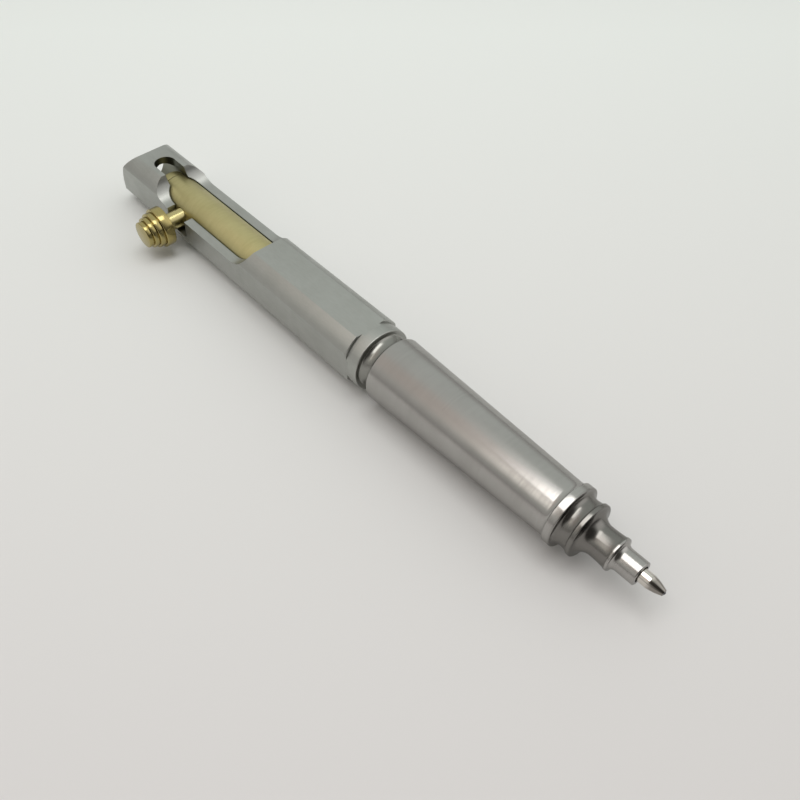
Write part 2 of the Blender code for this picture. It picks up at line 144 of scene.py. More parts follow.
# Writing point
POINT_REAR = 0.0488
INK_CHANNEL = 0.00035
INK_CHANNEL_END = 0.05906
SHANK_RADIUS = 0.00072
SHANK_END = 0.0507
POINT_RADIUS = 0.00115
CONE_START = 0.0574
CONE_MIDDLE = 0.05855
CONE_MIDDLE_RADIUS = 0.000915
POINT_FRONT = 0.0597
POINT_FRONT_RADIUS = 0.00052
BALL_X = 0.0595
BALL_RADIUS = 0.0004
BALL_SEAT = 0.00044
BALL_SEAT_ANGLE = 63
BALL_SEAT_END = 0.05928

# Return spring
SPRING_REAR = 0.0345
SPRING_FRONT = 0.0455
SPRING_TURNS = 9
SPRING_RADIUS = 0.00235
WIRE_RADIUS = 0.00022
WIRE_SIDES = 12
STEPS_PER_TURN = 24

# Where the pen touches the table, and the table's size
GRIP_TOUCH = 0.0034
REAR_TOUCH = -0.0764
TABLE_RADIUS = 0.9
TABLE_SIDES = 96

# How finely the pieces are worked
BARREL_SIDES = 144
GRIP_SIDES = 224
BOLT_SIDES = 128
DRILL_SIDES = 64
STEM_SIDES = 96
KNOB_SIDES = 160
POINT_SIDES = 96
BALL_SIDES = 64
ARC_STEPS = 20
RIM_STEPS = 6
REAR_STEPS = 40
WINDOW_STEPS = 28
SLOT_STEPS = 36
BALL_STEPS = 32

# Broken edges: how wide, from how sharp an angle in degrees, and how far behind the
# barrel's groove they end
BARREL_EDGE = 0.00012
TURNED_EDGE = 0.00006
HANDLE_EDGE = 0.00005
POINT_EDGE = 0.00003
EDGE_ANGLE = 35
BOLT_EDGE_ANGLE = 24
GROOVE_MARGIN = 0.0003

# Angles in degrees past which a face starts anew when it is shaded
SHADE_ANGLE = 16
POINT_SHADE_ANGLE = 9
SPRING_SHADE_ANGLE = 50

# Points closer than this are one, edges shorter than this are dropped, and a cutting
# tool reaches this far past the metal. Cut faces that lie within the angle, in degrees,
# are joined.
SAME_POINT = 2e-7
SAME_POINT_AFTER_CUT = 1e-6
EMPTY_EDGE = 1e-8
CUT_SPARE = 0.001
FLAT_ANGLE = 0.4


# Shape tools

def arc(centre, radius, start, end, steps=ARC_STEPS):
    """Points on a circle, with angles in degrees."""
    points = []
    for step in range(steps + 1):
        angle = math.radians(start + (end - start) * step / steps)
        points.append((centre[0] + radius * math.cos(angle), centre[1] + radius * math.sin(angle)))
    return points


def cove(steep, flat, steps=ARC_STEPS):
    """A hollow quarter ellipse from its steep end to the end that runs along the axis."""
    points = []
    for step in range(steps + 1):
        angle = math.pi / 2 * step / steps
        x = steep[0] + (flat[0] - steep[0]) * (1 - math.cos(angle))
        radius = steep[1] + (flat[1] - steep[1]) * math.sin(angle)
        points.append((x, radius))
    return points


def move(shape, way):
    """Move a whole shape."""
    bmesh.ops.translate(shape, verts=shape.verts, vec=way)


def turn(shape, angle, axis):
    """Turn a whole shape about an axis through the origin."""
    bmesh.ops.rotate(shape, verts=shape.verts, cent=(0, 0, 0), matrix=Matrix.Rotation(angle, 3, axis))


def clean(shape):
    """Join doubled points, drop empty faces and turn the others outwards."""
    bmesh.ops.remove_doubles(shape, verts=shape.verts, dist=SAME_POINT)
    bmesh.ops.dissolve_degenerate(shape, edges=shape.edges, dist=EMPTY_EDGE)
    bmesh.ops.recalc_face_normals(shape, faces=shape.faces)


def finish_mesh(shape, name, sharp=SHADE_ANGLE):
    """Clean a shape, make it a mesh and shade it smooth between its edges."""
    clean(shape)
    mesh = bpy.data.meshes.new(name)
    shape.to_mesh(mesh)
    shape.free()
    mesh.shade_smooth()
    mesh.set_sharp_from_angle(angle=math.radians(sharp))
    return mesh


def put(name, mesh):
    """Put a mesh in the scene, at the origin."""
    piece = bpy.data.objects.new(name, mesh)
    bpy.context.scene.collection.objects.link(piece)
    return piece


def break_edges(shape, width, least=EDGE_ANGLE, front=math.inf):
    """Round the sharp edges behind a place on the axis a little, as a maker's file would."""
    rims = [edge for edge in shape.edges if len(edge.link_faces) == 2]
    rims = [edge for edge in rims if edge.calc_face_angle() > math.radians(least)]
    rims = [edge for edge in rims if all(vert.co.x < front for vert in edge.verts)]
    bmesh.ops.bevel(
        shape, geom=rims, offset=width, offset_type="OFFSET", affect="EDGES",
        segments=2, profile=0.5, material=-1, clamp_overlap=True,
    )


def turned_shape(outline, sides, edge=0.0):
    """Spin a closed outline of (x, radius) points about the axis and break its sharp rims."""
    shape = bmesh.new()
    ring = [shape.verts.new((x, 0, radius)) for x, radius in outline]
    edges = [shape.edges.new((a, b)) for a, b in zip(ring, ring[1:] + ring[:1])]
    bmesh.ops.spin(
        shape, geom=ring + edges, cent=(0, 0, 0), axis=(1, 0, 0),
        angle=2 * math.pi, steps=sides, use_merge=True,
    )
    clean(shape)
    if edge:
        break_edges(shape, edge)
    return shape


def turned_piece(name, outline, sides, edge=TURNED_EDGE, sharp=SHADE_ANGLE):
    """A piece turned about the pen's axis."""
    shape = turned_shape(outline, sides, edge)
    move(shape, PEN_START)
    return put(name, finish_mesh(shape, name, sharp))


def aim_at_notch(shape):
    """Swing a turned shape to the handle's axis, which points out through the notch."""
    turn(shape, -math.pi / 2, "Z")
    move(shape, (HANDLE_X, 0, 0))


def handle_piece(name, outline, sides):
    """A piece turned about the handle's axis."""
    shape = turned_shape(outline, sides, HANDLE_EDGE)
    aim_at_notch(shape)
    move(shape, PEN_START)
    return put(name, finish_mesh(shape, name))


def block_shape(outline, start, end, stand=False):
    """A block with its outline in XZ, running along Y, or stood up along Z."""
    shape = bmesh.new()
    face = shape.faces.new([shape.verts.new((x, start, z)) for x, z in outline])
    grown = bmesh.ops.extrude_face_region(shape, geom=[face])
    moved = [part for part in grown["geom"] if isinstance(part, bmesh.types.BMVert)]
    bmesh.ops.translate(shape, verts=moved, vec=(0, end - start, 0))
    if stand:
        turn(shape, math.pi / 2, "X")
    bmesh.ops.recalc_face_normals(shape, faces=shape.faces)
    return shape


def machined(name, blank, cuts):
    """Cut a blank with each (operation, tool shape) in turn and return the result as a shape."""
    blank_piece = put(name + "_blank", finish_mesh(blank, name + "_blank"))
    tools = []
    for index, (operation, tool) in enumerate(cuts):
        label = name + "_tool_" + str(index)
        tool_piece = put(label, finish_mesh(tool, label))
        step = blank_piece.modifiers.new(label, "BOOLEAN")
        step.operation = operation
        step.solver = "EXACT"
        step.object = tool_piece
        tools.append(tool_piece)
    bpy.context.view_layer.update()
    evaluated = blank_piece.evaluated_get(bpy.context.evaluated_depsgraph_get())
    shape = bmesh.new()
    shape.from_mesh(evaluated.to_mesh())
    evaluated.to_mesh_clear()
    for spent in [blank_piece] + tools:
        bpy.data.objects.remove(spent, do_unlink=True)
    bmesh.ops.remove_doubles(shape, verts=shape.verts, dist=SAME_POINT_AFTER_CUT)
    return shape


# Node tools

def new_group(name, inputs, outputs):
    """An empty shader node group with named sockets."""
    group = bpy.data.node_groups.new(name, "ShaderNodeTree")
    for label, kind, value in inputs:
        socket = group.interface.new_socket(label, in_out="INPUT", socket_type=kind)
        socket.default_value = value
    for label, kind in outputs:
        group.interface.new_socket(label, in_out="OUTPUT", socket_type=kind)
    return group, group.nodes.new("NodeGroupInput"), group.nodes.new("NodeGroupOutput")


def place_group(tree, group, **values):
    """A node that uses a group, with its own values on the named inputs."""
    node = tree.nodes.new("ShaderNodeGroup")
    node.node_tree = group
    for label, value in values.items():
        node.inputs[label].default_value = value
    return node


def new_material(name):
    """A material, its node tree and its shader."""
    material = bpy.data.materials.new(name)
    material.use_nodes = True
    tree = material.node_tree
    return material, tree, tree.nodes["Principled BSDF"]


def feed(tree, socket, value):
    """Link a socket to another one, or set it to a plain value."""
    if isinstance(value, bpy.types.NodeSocket):
        tree.links.new(value, socket)
    else:
        socket.default_value = value


def surface_place(tree):
    """The place on the piece, in the frame's metres."""
    return tree.nodes.new("ShaderNodeTexCoord").outputs["Object"]


def room_direction(tree):
    """The direction in which the room is seen."""
    return tree.nodes.new("ShaderNodeTexCoord").outputs["Generated"]


def split_axes(tree, vector):
    """A vector's X, Y and Z."""
    node = tree.nodes.new("ShaderNodeSeparateXYZ")
    tree.links.new(vector, node.inputs["Vector"])
    return node.outputs


def vector_math(tree, operation, *values):
    """A sum, product or measure of vectors, each a socket or plain numbers."""
    node = tree.nodes.new("ShaderNodeVectorMath")
    node.operation = operation
    for socket, value in zip(node.inputs, values):
        feed(tree, socket, value)
    return node.outputs["Value" if operation in ("DOT_PRODUCT", "LENGTH") else "Vector"]


def scalar_math(tree, operation, *values):
    """A sum, product or test of values, each a socket or a plain number."""
    node = tree.nodes.new("ShaderNodeMath")
    node.operation = operation
    for socket, value in zip(node.inputs, values):
        feed(tree, socket, value)
    return node.outputs["Value"]


def map_range(tree, value, low, high, start=0.0, end=1.0):
    """A socket's value, moved from one range to another and held inside it."""
    node = tree.nodes.new("ShaderNodeMapRange")
    node.inputs["To Min"].default_value = low
    node.inputs["To Max"].default_value = high
    feed(tree, node.inputs["From Min"], start)
    feed(tree, node.inputs["From Max"], end)
    tree.links.new(value, node.inputs["Value"])
    return node.outputs["Result"]


def value_mix(tree, factor, first, second):
    """A value between two, each a socket or a plain number."""
    node = tree.nodes.new("ShaderNodeMix")
    feed(tree, node.inputs["Factor"], factor)
    feed(tree, node.inputs["A"], first)
    feed(tree, node.inputs["B"], second)
    return node.outputs["Result"]


def colour_mix(tree, mask, first, second):
    """The first colour, a socket or three numbers, with the second laid over it by a mask."""
    node = tree.nodes.new("ShaderNodeMix")
    node.data_type = "RGBA"
    tree.links.new(mask, node.inputs["Factor"])
    feed(tree, node.inputs["A"], (*first, 1) if isinstance(first, tuple) else first)
    node.inputs["B"].default_value = (*second, 1)
    return node.outputs["Result"]


# Effects that the finishes share, among them masks for painted shade

# Where the painted shade in the barrel's bore and slot walls lies
BORE_SHADE_RADIUS = 0.0043
SLOT_SHADE_MIDDLE = (-0.0539, 0, 0.0092)
SLOT_SHADE_HALF_SIZE = (0.0071, 0.0022, 0.0020)
FINGER_BLOTCHES = 160.0
MOULDED_GRAIN = 900.0


def tool_marks_group():
    """Fine lines left by a cutting tool, stretched so that they run one way."""
    group, start, end = new_group(
        "tool_marks",
        [("Stretch", "NodeSocketVector", (4000, 60, 60))],
        [("Lines", "NodeSocketFloat")],
    )
    noise = group.nodes.new("ShaderNodeTexNoise")
    noise.inputs["Scale"].default_value = 1.0
    noise.inputs["Detail"].default_value = 3.0
    noise.inputs["Roughness"].default_value = 0.65
    stretched = vector_math(group, "MULTIPLY", surface_place(group), start.outputs["Stretch"])
    group.links.new(stretched, noise.inputs["Vector"])
    group.links.new(noise.outputs["Fac"], end.inputs["Lines"])
    return group


def handling_group():
    """Soft blotches where fingers have dulled the metal."""
    group, start, end = new_group(
        "handling",
        [("Size", "NodeSocketFloat", FINGER_BLOTCHES)],
        [("Blotches", "NodeSocketFloat")],
    )
    noise = group.nodes.new("ShaderNodeTexNoise")
    noise.inputs["Detail"].default_value = 4.0
    noise.inputs["Roughness"].default_value = 0.6
    noise.inputs["Distortion"].default_value = 0.4
    group.links.new(surface_place(group), noise.inputs["Vector"])
    group.links.new(start.outputs["Size"], noise.inputs["Scale"])
    group.links.new(noise.outputs["Fac"], end.inputs["Blotches"])
    return group


def polish_and_shade_group():
    """A mask that grows along the pen from one place to another and stops at a third, for a smoother
    finish with painted shade over it.
    """
    group, start, end = new_group(
        "polished_and_shaded_zone",
        [
            ("From", "NodeSocketFloat", 0.0),
            ("To", "NodeSocketFloat", 1.0),
            ("Until", "NodeSocketFloat", 1.0),
        ],
        [("Polish And Shade", "NodeSocketFloat")],
    )
    along = split_axes(group, surface_place(group))["X"]
    grown = map_range(group, along, 0, 1, start.outputs["From"], start.outputs["To"])
    before = scalar_math(group, "LESS_THAN", along, start.outputs["Until"])
    group.links.new(scalar_math(group, "MULTIPLY", grown, before), end.inputs["Polish And Shade"])
    return group


def bore_and_slot_shade_group():
    """A mask for the painted shade in the barrel's bore and on the walls of its slot."""
    group, start, end = new_group(
        "bore_and_slot_painted_shade",
        [
            ("Bore", "NodeSocketFloat", BORE_SHADE_RADIUS),
            ("Slot Middle", "NodeSocketVector", SLOT_SHADE_MIDDLE),
            ("Slot Half Size", "NodeSocketVector", SLOT_SHADE_HALF_SIZE),
        ],
        [("Inside", "NodeSocketFloat")],
    )
    place = surface_place(group)
    across = vector_math(group, "MULTIPLY_ADD", place, (0, 1, 1), (0, 0, -PEN_START.z))
    from_axis = vector_math(group, "LENGTH", across)
    bore = scalar_math(group, "LESS_THAN", from_axis, start.outputs["Bore"])
    offset = vector_math(group, "SUBTRACT", place, start.outputs["Slot Middle"])
    distance = vector_math(group, "ABSOLUTE", offset)
    spare = split_axes(group, vector_math(group, "SUBTRACT", start.outputs["Slot Half Size"], distance))
    least = scalar_math(group, "MINIMUM", spare["X"], spare["Y"])
    least = scalar_math(group, "MINIMUM", least, spare["Z"])
    slot = scalar_math(group, "GREATER_THAN", least, 0.0)
    group.links.new(scalar_math(group, "MAXIMUM", bore, slot), end.inputs["Inside"])
    return group


def groove_shade_group():
    """A mask for a narrow band across the pen, where shade is painted into a groove."""
    group, start, end = new_group(
        "painted_groove_shade",
        [("Middle", "NodeSocketFloat", 0.0), ("Half Width", "NodeSocketFloat", 0.0002)],
        [("Band", "NodeSocketFloat")],
    )
    along = split_axes(group, surface_place(group))["X"]
    offset = scalar_math(group, "SUBTRACT", along, start.outputs["Middle"])
    distance = scalar_math(group, "ABSOLUTE", offset)
    band = scalar_math(group, "LESS_THAN", distance, start.outputs["Half Width"])
    group.links.new(band, end.inputs["Band"])
    return group


TOOL_MARKS = tool_marks_group()
HANDLING = handling_group()
POLISHED_AND_SHADED_ZONE = polish_and_shade_group()
BORE_AND_SLOT_SHADE = bore_and_slot_shade_group()
GROOVE_SHADE = groove_shade_group()


# Finishes

# The noises stay mostly between these two values
NOISE_LOW = 0.3
NOISE_HIGH = 0.7
BLOTCH_SHARE = 0.6
LINE_STRENGTH = 0.6
# How far the painted shade covers a polished zone
PAINTED_SHADE_COVER = 0.8
QUARTER_TURN = 0.25
NO_END = 1.0


def metal(
    name, dark, light, rough, lines, depth,
    anisotropy=0.0, edge=1.0, inside=None, painted_groove_shade=None, polish_and_shade=None,
):
    """Worked metal: tool lines in one direction, dulled blotches, colour between two tones.

    rough is for the light and the dark tone, lines says how close the tool lines lie along
    each axis, and edge is how bright the metal is when seen at a grazing angle.
    inside is a colour of painted shade for the barrel's bore and the walls of its slot.
    The band for a groove is painted shade in that groove: where it starts and ends along the pen, and
    its colour.
    The zone for polish and shade is smoother metal with painted shade over its colour: where it starts,
    is full and ends, its roughness and the shade's colour.
    """
    material, tree, shader = new_material(name)
    shader.inputs["Metallic"].default_value = 1.0
    shader.inputs["Anisotropic"].default_value = anisotropy
    shader.inputs["Specular Tint"].default_value = (edge, edge, edge, 1)
    marks = place_group(tree, TOOL_MARKS, Stretch=lines)
    dull = place_group(tree, HANDLING)
    tone = value_mix(tree, BLOTCH_SHARE, marks.outputs["Lines"], dull.outputs["Blotches"])
    colour = colour_mix(tree, map_range(tree, tone, 0, 1, NOISE_LOW, NOISE_HIGH), dark, light)
    roughness = map_range(tree, tone, rough[1], rough[0], NOISE_LOW, NOISE_HIGH)
    # Painted shade: the bore and the slot walls are darkened where shade falls inside the barrel
    if inside:
        cut = place_group(tree, BORE_AND_SLOT_SHADE)
        colour = colour_mix(tree, cut.outputs["Inside"], colour, inside)
    # Painted shade: a dark band in a groove stands in for the shade that falls there
    if painted_groove_shade:
        rear, front, shade = painted_groove_shade
        place = {"Middle": PEN_START.x + (rear + front) / 2, "Half Width": (front - rear) / 2}
        line = place_group(tree, GROOVE_SHADE, **place)
        colour = colour_mix(tree, line.outputs["Band"], colour, shade)
    # A zone with its own roughness, and painted shade that darkens its colour
    if polish_and_shade:
        start, full, end, smooth, shade = polish_and_shade
        place = {"From": PEN_START.x + start, "To": PEN_START.x + full, "Until": PEN_START.x + end}
        zone = place_group(tree, POLISHED_AND_SHADED_ZONE, **place)
        cover = map_range(tree, zone.outputs["Polish And Shade"], 0, PAINTED_SHADE_COVER)
        colour = colour_mix(tree, cover, colour, shade)
        roughness = value_mix(tree, zone.outputs["Polish And Shade"], roughness, smooth)
    tree.links.new(colour, shader.inputs["Base Color"])
    tree.links.new(roughness, shader.inputs["Roughness"])
    bump = tree.nodes.new("ShaderNodeBump")
    bump.inputs["Strength"].default_value = LINE_STRENGTH
    bump.inputs["Distance"].default_value = depth
    tree.links.new(marks.outputs["Lines"], bump.inputs["Height"])
    tree.links.new(bump.outputs["Normal"], shader.inputs["Normal"])
    if anisotropy:
        around = tree.nodes.new("ShaderNodeTangent")
        around.direction_type = "RADIAL"
        around.axis = "X"
        shader.inputs["Anisotropic Rotation"].default_value = QUARTER_TURN
        tree.links.new(around.outputs["Tangent"], shader.inputs["Tangent"])
    return material


def moulded(name, dark, light, rough):
    """Plain moulded plastic or paste with a soft grain."""
    material, tree, shader = new_material(name)
    dull = place_group(tree, HANDLING, Size=MOULDED_GRAIN)
    grain = map_range(tree, dull.outputs["Blotches"], 0, 1, NOISE_LOW, NOISE_HIGH)
    tree.links.new(colour_mix(tree, grain, dark, light), shader.inputs["Base Color"])
    tree.links.new(map_range(tree, grain, rough[0], rough[1]), shader.inputs["Roughness"])
    return material


BARREL_STEEL = metal(
    "barrel_satin_steel",
    dark=(0.38, 0.387, 0.363),
    light=(0.456, 0.462, 0.44),
    rough=(0.30, 0.42),
    lines=(700, 4200, 4200),
    depth=0.000003,
    edge=0.85,
    # Painted shade in the bore and on the slot walls
    inside=(0.21, 0.215, 0.175),
    # The neck in front of the collar: smoother, with painted shade in its hollow
    polish_and_shade=(-0.0001, 0.0001, NO_END, 0.26, (0.26, 0.255, 0.235)),
)
GRIP_STEEL = metal(
    "grip_turned_steel",
    dark=(0.368, 0.358, 0.342),
    light=(0.442, 0.431, 0.415),
    rough=(0.18, 0.27),
    lines=(4200, 70, 70),
    depth=0.0000014,
    anisotropy=0.15,
    edge=0.75,
    # The nose's beads and hollows: their own roughness, with painted shade in the hollows
    polish_and_shade=(0.0426, 0.0434, 0.0513, 0.24, (0.165, 0.158, 0.146)),
)
BOLT_BRASS = metal(
    "bolt_satin_brass",
    dark=(0.475, 0.428, 0.212),
    light=(0.565, 0.51, 0.265),
    rough=(0.38, 0.48),
    lines=(1600, 300, 300),
    depth=0.000003,
    # Painted shade in the groove between the tail and the shoulder
    painted_groove_shade=(TAIL_GROOVE, BOLT_SHOULDER, (0.05, 0.043, 0.022)),
)
STEM_BRASS = metal(
    "stem_brass",
    dark=(0.52, 0.45, 0.21),
    light=(0.61, 0.53, 0.27),
    rough=(0.18, 0.26),
    lines=(60, 5200, 60),
    depth=0.000002,
)
KNOB_BRASS = metal(
    "knob_polished_brass",
    dark=(0.37, 0.305, 0.12),
    light=(0.47, 0.39, 0.17),
    rough=(0.15, 0.23),
    lines=(60, 5200, 60),
    depth=0.000002,
)
POINT_NICKEL = metal(
    "point_bright_nickel",
    dark=(0.60, 0.565, 0.52),
    light=(0.72, 0.685, 0.63),
    rough=(0.06, 0.12),
    lines=(9000, 60, 60),
    depth=0.000001,
    # The point's cone: its own roughness, with a painted dark reflection on it
    polish_and_shade=(0.0571, 0.0579, NO_END, 0.14, (0.20, 0.185, 0.165)),
)
BALL_CARBIDE = metal(
    "ball_hard_metal",
    dark=(0.20, 0.20, 0.21),
    light=(0.30, 0.30, 0.31),
    rough=(0.12, 0.20),
    lines=(9000, 9000, 9000),
    depth=0.000001,
)
SPRING_WIRE = metal(
    "spring_drawn_wire",
    dark=(0.46, 0.46, 0.46),
    light=(0.60, 0.60, 0.60),
    rough=(0.18, 0.28),
    lines=(1500, 4000, 4000),
    depth=0.000002,
)
TUBE_METAL = metal(
    "refill_tube_metal",
    dark=(0.50, 0.50, 0.50),
    light=(0.64, 0.64, 0.64),
    rough=(0.18, 0.28),
    lines=(400, 5200, 5200),
    depth=0.000002,
)
NOSE_BRASS = metal(
    "refill_nose_brass",
    dark=(0.54, 0.45, 0.20),
    light=(0.68, 0.58, 0.28),
    rough=(0.22, 0.32),
    lines=(6000, 60, 60),
    depth=0.000002,
)
PLUG_PLASTIC = moulded(
    "refill_plug_plastic",
    dark=(0.020, 0.020, 0.022),
    light=(0.045, 0.045, 0.048),
    rough=(0.38, 0.55),
)
INK_PASTE = moulded(
    "ink_paste",
    dark=(0.004, 0.004, 0.006),
    light=(0.012, 0.012, 0.018),
    rough=(0.20, 0.34),
)


def coat(piece, material):
    """Give a piece one finish all over."""
    piece.data.materials.clear()
    piece.data.materials.append(material)


def dress(piece, material, body, node):
    """Give a piece its finish, and let it stand for a node of the frame."""
    coat(piece, material)
    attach(piece, body)
    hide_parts(node)


# The pen's pieces

def front_outline():
    """Each flat runs a little way into the collar; the rest of the front stays as it was turned."""
    front = SPIGOT_END + CUT_SPARE
    wide = 2 * BARREL_FLAT
    return [
        (FLATS_END, BARREL_FLAT),
        (FLATS_END, wide),
        (front, wide),
        (front, -wide),
        (FLATS_END, -wide),
        (FLATS_END, -BARREL_FLAT),
    ]


def barrel_side_outline():
    """Side view of the barrel: rounded rear, flats above and below, top milled down at the window."""
    rear_centre = (BARREL_REAR + REAR_ROUND, -REAR_ROUND_DROP)
    lower = math.degrees(math.asin((BARREL_FLAT - REAR_ROUND_DROP) / REAR_ROUND))
    upper = math.degrees(math.asin((BARREL_FLAT + REAR_ROUND_DROP) / REAR_ROUND))
    rear_rise = RAIL_TOP + WINDOW_REAR_ROUND
    front_rise = RAIL_TOP + WINDOW_FRONT_ROUND
    rear_lean = math.asin((rear_rise - BARREL_FLAT) / WINDOW_REAR_ROUND)
    front_lean = math.asin((front_rise - BARREL_FLAT) / WINDOW_FRONT_ROUND)
    rear_arc = (WINDOW_REAR + WINDOW_REAR_ROUND * math.cos(rear_lean), rear_rise)
    front_arc = (WINDOW_FRONT - WINDOW_FRONT_ROUND * math.cos(front_lean), front_rise)
    outline = arc(rear_centre, REAR_ROUND, 180 + lower, 180 - upper, REAR_STEPS)
    outline += arc(rear_arc, WINDOW_REAR_ROUND, 180 + math.degrees(rear_lean), 270, WINDOW_STEPS)
    outline += arc(front_arc, WINDOW_FRONT_ROUND, 270, 360 - math.degrees(front_lean), WINDOW_STEPS)
    return outline + front_outline()


def barrel_blank(rear):
    """The barrel as it comes from the lathe, with its bores, collar, neck and spigot."""
    groove_rim = (GROOVE_REAR - GROOVE_RIM_ROUND, BARREL_ROUND - GROOVE_RIM_ROUND)
    collar_rim = (-COLLAR_ROUND, COLLAR_RADIUS - COLLAR_ROUND)
    neck_bottom = (NECK_LENGTH / 2, NECK_RADIUS)
    return turned_shape([
        (rear, BOLT_BORE),
        (rear, BARREL_ROUND),
        *arc(groove_rim, GROOVE_RIM_ROUND, 90, 0, RIM_STEPS),
        (GROOVE_REAR, GROOVE_RADIUS),
        (COLLAR_REAR, GROOVE_RADIUS),
        (COLLAR_REAR, COLLAR_RADIUS - COLLAR_CHAMFER),
        (COLLAR_REAR + COLLAR_CHAMFER, COLLAR_RADIUS),
        *arc(collar_rim, COLLAR_ROUND, 90, 0, RIM_STEPS),
        *cove((0, NECK_EDGE), neck_bottom),
        *reversed(cove((NECK_LENGTH, NECK_EDGE), neck_bottom)[:-1]),
        (NECK_LENGTH, SPIGOT_RADIUS),
        (SPIGOT_END, SPIGOT_RADIUS),
        (SPIGOT_END, REFILL_BORE),
        (BOLT_BORE_END, REFILL_BORE),
        (BOLT_BORE_END, BOLT_BORE),
    ], BARREL_SIDES)


def make_barrel():
    """The flat-sided barrel with its window, slot and notch, and the neck at its front."""
    rear = BARREL_REAR - CUT_SPARE
    wide = 2 * BARREL_ROUND
    side = block_shape(barrel_side_outline(), -wide, wide)
    top_outline = [(rear, -BARREL_FLAT), (rear, BARREL_FLAT)] + front_outline()
    top = block_shape(top_outline, -wide, wide, stand=True)
    slot_mouth = WINDOW_REAR + WINDOW_REAR_ROUND
    slot_outline = arc((SLOT_END + SLOT_HALF_WIDTH, 0), SLOT_HALF_WIDTH, 90, 270, SLOT_STEPS)
    slot_outline += [(slot_mouth, -SLOT_HALF_WIDTH), (slot_mouth, SLOT_HALF_WIDTH)]
    slot = block_shape(slot_outline, 0, wide, stand=True)
    notch_top = RAIL_TOP + CUT_SPARE
    notch_outline = [(NOTCH_REAR, notch_top)]
    notch_outline += arc((NOTCH_REAR + NOTCH_ROUND, NOTCH_FLOOR + NOTCH_ROUND), NOTCH_ROUND, 180, 270)
    notch_outline += arc((NOTCH_FRONT - NOTCH_ROUND, NOTCH_FLOOR + NOTCH_ROUND), NOTCH_ROUND, 270, 360)
    notch_outline += [(NOTCH_FRONT, notch_top)]
    notch = block_shape(notch_outline, -wide, -BOLT_BORE / 2)
    shape = machined("barrel", barrel_blank(rear), [
        ("INTERSECT", side),
        ("INTERSECT", top),
        ("DIFFERENCE", slot),
        ("DIFFERENCE", notch),
    ])
    bmesh.ops.dissolve_limit(
        shape, angle_limit=math.radians(FLAT_ANGLE), verts=shape.verts, edges=shape.edges,
        delimit={"NORMAL"},
    )
    break_edges(shape, BARREL_EDGE, front=GROOVE_REAR - GROOVE_MARGIN)
    move(shape, PEN_START)
    barrel = put("barrel_body", finish_mesh(shape, "barrel_body"))
    dress(barrel, BARREL_STEEL, "barrel", "upper_barrel")


def make_grip():
    """The tapered grip with three beads and the nose tube."""
    rear_rim = (GRIP_REAR + GRIP_ROUND, GRIP_RADIUS - GRIP_ROUND)
    nose_rim = (NOSE_FRONT - NOSE_ROUND, NOSE_RADIUS - NOSE_ROUND)
    outline = [(GRIP_REAR, GRIP_SOCKET)]
    outline += arc(rear_rim, GRIP_ROUND, 180, 90, RIM_STEPS)
    hollow_x, hollow_radius = TAPER_END, TAPER_END_RADIUS
    outline.append((hollow_x, hollow_radius))
    for rear, front, radius, hollow_end, next_radius in GRIP_BEADS:
        outline += reversed(cove((rear, radius), (hollow_x + HOLLOW_FLOOR, hollow_radius)))
        outline.append((front, radius))
        hollow_x, hollow_radius = hollow_end, next_radius
        outline += cove((front + BEAD_CHAMFER, radius - BEAD_CHAMFER), (hollow_x, hollow_radius))
    outline += arc(nose_rim, NOSE_ROUND, 90, 0, RIM_STEPS)
    outline += [
        (NOSE_FRONT, NOSE_BORE),
        (SPRING_SEAT, NOSE_BORE),
        (SPRING_SEAT, REFILL_BORE),
        (GRIP_SOCKET_END, REFILL_BORE),
        (GRIP_SOCKET_END, GRIP_SOCKET),
    ]
    grip = turned_piece("grip_body", outline, GRIP_SIDES)
    dress(grip, GRIP_STEEL, "barrel", "grip_section")


def make_bolt():
    """The sliding brass bolt, bored for the refill and seated for the handle."""
    blank = turned_shape([
        (BOLT_REAR, 0),
        (BOLT_REAR, TAIL_RADIUS - TAIL_TAPER),
        (BOLT_REAR + TAIL_TAPER, TAIL_RADIUS),
        (TAIL_GROOVE, TAIL_RADIUS),
        (TAIL_GROOVE, TAIL_GROOVE_RADIUS),
        (BOLT_SHOULDER, TAIL_GROOVE_RADIUS),
        (BOLT_SHOULDER, BOLT_RADIUS - SHOULDER_CHAMFER),
        (BOLT_SHOULDER + SHOULDER_CHAMFER, BOLT_RADIUS),
        (BOLT_FRONT - BOLT_FRONT_CHAMFER, BOLT_RADIUS),
        (BOLT_FRONT, BOLT_RADIUS - BOLT_FRONT_CHAMFER),
        (BOLT_FRONT, SOCKET_RADIUS),
        (SOCKET_END, SOCKET_RADIUS),
        (SOCKET_END, 0),
    ], BOLT_SIDES)
    pin_hole = PIN_RADIUS + HANDLE_CLEARANCE
    stem_hole = STEM_RADIUS + HANDLE_CLEARANCE
    drill = turned_shape([
        (PIN_START - HANDLE_CLEARANCE, 0),
        (PIN_START - HANDLE_CLEARANCE, pin_hole),
        (STEM_START - HANDLE_CLEARANCE, pin_hole),
        (STEM_START - HANDLE_CLEARANCE, stem_hole),
        (DRILL_END, stem_hole),
        (DRILL_END, 0),
    ], DRILL_SIDES)
    aim_at_notch(drill)
    shape = machined("bolt", blank, [("DIFFERENCE", drill)])
    break_edges(shape, TURNED_EDGE, BOLT_EDGE_ANGLE)
    move(shape, PEN_START)
    bolt = put("bolt_rod", finish_mesh(shape, "bolt_rod"))
    dress(bolt, BOLT_BRASS, "bolt", "bolt")


